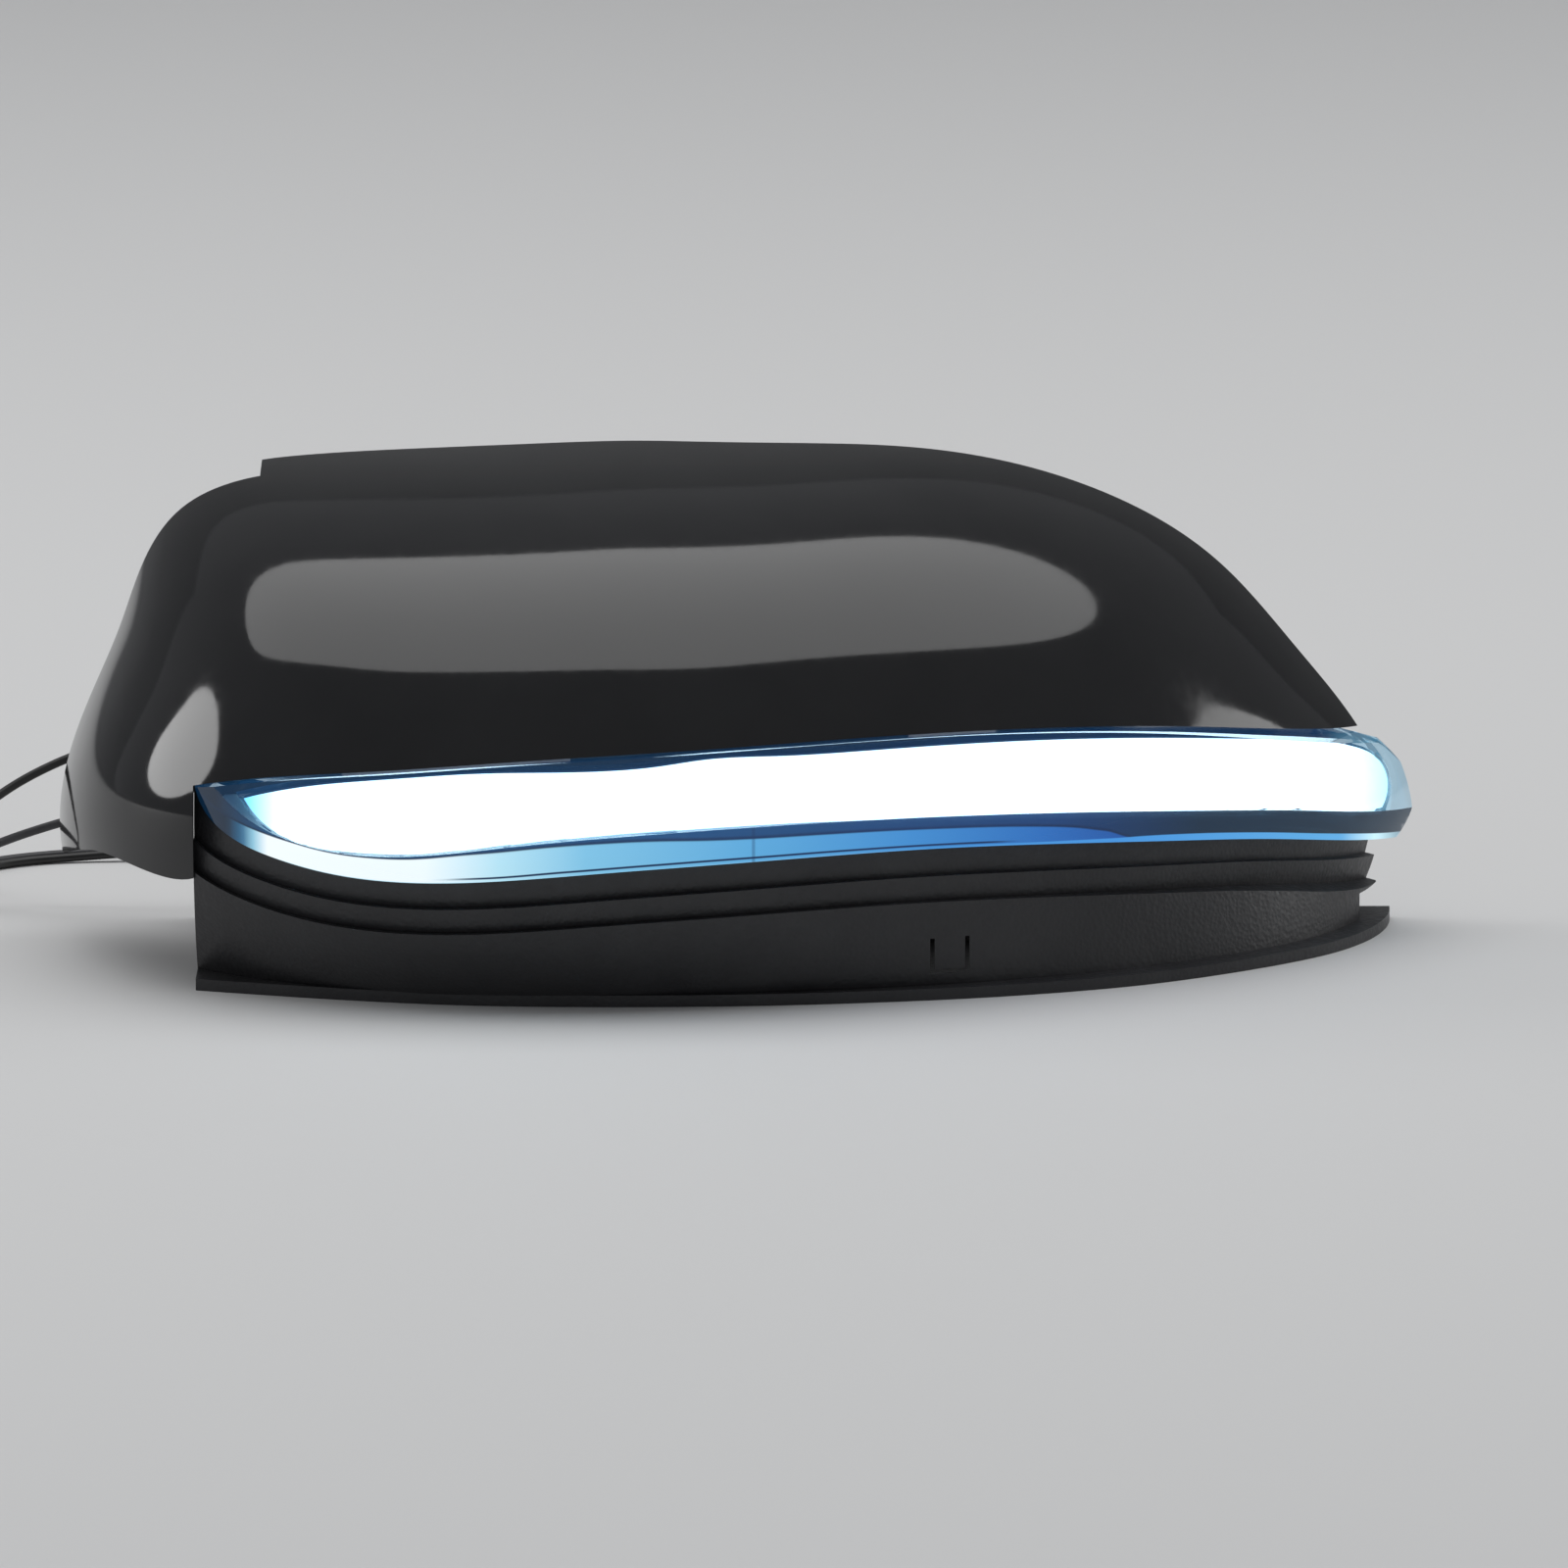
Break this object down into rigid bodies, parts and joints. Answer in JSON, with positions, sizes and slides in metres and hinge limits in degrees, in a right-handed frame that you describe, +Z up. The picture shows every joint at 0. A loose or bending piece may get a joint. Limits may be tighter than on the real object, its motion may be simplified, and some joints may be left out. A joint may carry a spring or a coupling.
{
  "type": "mirror turn signal lamp",
  "caption": "Lighted turn signal lamp set into a car door mirror housing, with a gloss cap, a grained lower housing, an inner carrier frame and a short lead with a plug.",
  "frame": {"origin": "middle of the housing's bounding box, without its lead, on the plane of its flat base", "axes": "+X away from the car, -Y the way the rounded front faces, +Y out of the open rear, +Z up"},
  "size_m": [0.2717, 0.1488, 0.0879],
  "materials": {
    "cap_gloss_black": "high gloss moulding",
    "housing_grained_black": "fine grained moulding",
    "frame_black": "plain moulding, glass filled",
    "lens_clear": "clear polished acrylic with a blue tinted lower flank",
    "guide_white": "white diffusing light guide",
    "gasket_foam": "closed cell foam",
    "lamp_housing_black": "plain moulding",
    "reflector_white": "white reflecting sheet",
    "board_green": "solder mask over glass fibre",
    "led_package": "package with amber phosphor",
    "resistor_black": "chip resistor",
    "board_screw_steel": "zinc plated",
    "cap_screw_steel": "zinc plated",
    "lamp_screw_steel": "zinc plated",
    "housing_screw_steel": "zinc plated",
    "vent_rubber": "soft rubber",
    "lead_grommet_rubber": "soft rubber",
    "web_grommet_rubber": "soft rubber",
    "sleeve_black": "cable sleeve",
    "saddle_black": "plain moulding",
    "saddle_screw_steel": "zinc plated",
    "wire_black": "cable insulation",
    "wire_dark_grey": "cable insulation",
    "plug_black": "plain moulding",
    "terminal_tin": "tinned"
  },
  "bodies": {
    "root": {"mirror_cap": "cap_gloss_black", "lower_housing": "housing_grained_black", "inner_frame": "frame_black", "lamp_lens": "lens_clear", "light_guide": "guide_white", "lens_gasket": "gasket_foam", "lamp_housing": "lamp_housing_black", "reflector": "reflector_white", "led_board": "board_green", "led_chips": "led_package", "board_resistors": "resistor_black", "board_screws": "board_screw_steel", "cap_screws": "cap_screw_steel", "lamp_screws": "lamp_screw_steel", "housing_screws": "housing_screw_steel", "vent_plug": "vent_rubber", "lead_grommet": "lead_grommet_rubber", "web_grommet": "web_grommet_rubber", "lead_sleeve": "sleeve_black", "lead_saddle": "saddle_black", "saddle_screw": "saddle_screw_steel", "wire_upper": "wire_black", "wire_lower": "wire_dark_grey", "lead_plug": "plug_black", "plug_terminals": "terminal_tin"}
  },
  "joints": []
}
